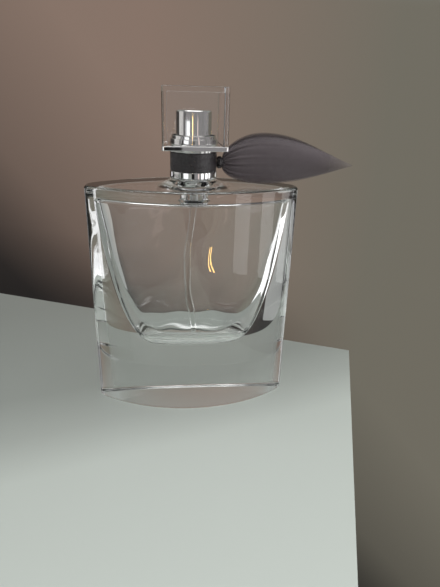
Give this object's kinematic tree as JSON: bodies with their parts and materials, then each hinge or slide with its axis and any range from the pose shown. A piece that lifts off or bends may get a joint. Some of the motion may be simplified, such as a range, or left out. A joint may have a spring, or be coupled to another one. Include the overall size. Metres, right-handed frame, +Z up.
{
  "type": "perfume bottle",
  "caption": "Clear lens-shaped glass perfume bottle with a smile-shaped pouch, a bright spray head, a clear square lift-off cap and a sheer ribbon tied at its neck.",
  "frame": {"origin": "centre of the flat glass base, on the surface that the bottle stands on, under the neck's axis", "axes": "+Z up through the neck; -Y out of the curved front, opposite the side that the spray leaves; +X across the width, towards the ribbon's wings"},
  "size_m": [0.0991, 0.0362, 0.1266],
  "materials": {
    "clear_glass": "polished clear glass, very slightly green in its thick base",
    "grey_rubber": "soft moulded rubber",
    "natural_plastic": "uncoloured milky polypropylene",
    "clear_plastic": "clear extruded polyethylene",
    "spring_steel": "drawn stainless steel",
    "white_plastic": "white acetal",
    "aluminium": "drawn and anodised, satin",
    "chrome": "mirror-bright plated",
    "charcoal_satin": "grey-mauve satin ribbon, slightly lustrous",
    "charcoal_organza": "sheer grey-mauve organza",
    "clear_acrylic": "clear polished acrylic"
  },
  "bodies": {
    "bottle": {"glass_bottle": "clear_glass", "neck_gasket": "grey_rubber", "pump_body": "natural_plastic", "return_spring": "spring_steel", "stem_bush": "white_plastic", "crimp_ferrule": "aluminium", "dip_tube": "clear_plastic", "collar_liner": "white_plastic", "collar_shell": "chrome", "ribbon_band": "charcoal_satin", "ribbon_knot": "charcoal_satin", "ribbon_wing_front": "charcoal_organza", "ribbon_wing_rear": "charcoal_organza"},
    "stem": {"stem": "white_plastic", "piston": "natural_plastic"},
    "spray_head": {"actuator_shell": "chrome", "actuator_core": "white_plastic", "nozzle_insert": "natural_plastic"},
    "inlet_ball": {"inlet_ball": "spring_steel"},
    "cap": {"cap_shell": "clear_acrylic", "cap_base": "chrome"}
  },
  "joints": [
    {"name": "stem_press", "type": "slide", "parent": "bottle", "child": "stem", "axis": [0, 0, -1], "range_m": [0, 0.0035], "stiffness_N_per_m": 600, "springref_m": -0.002, "deforming": ["return_spring"]},
    {"name": "head_turn", "type": "hinge", "parent": "stem", "child": "spray_head", "pos_m": [0, 0, 0.11], "axis": [0, 0, 1], "continuous": true},
    {"name": "ball_lift", "type": "slide", "parent": "bottle", "child": "inlet_ball", "axis": [0, 0, 1], "range_m": [0, 0.0008]},
    {"name": "cap_lift", "type": "slide", "parent": "bottle", "child": "cap", "axis": [0, 0, 1], "range_m": [0, 0.03]}
  ]
}
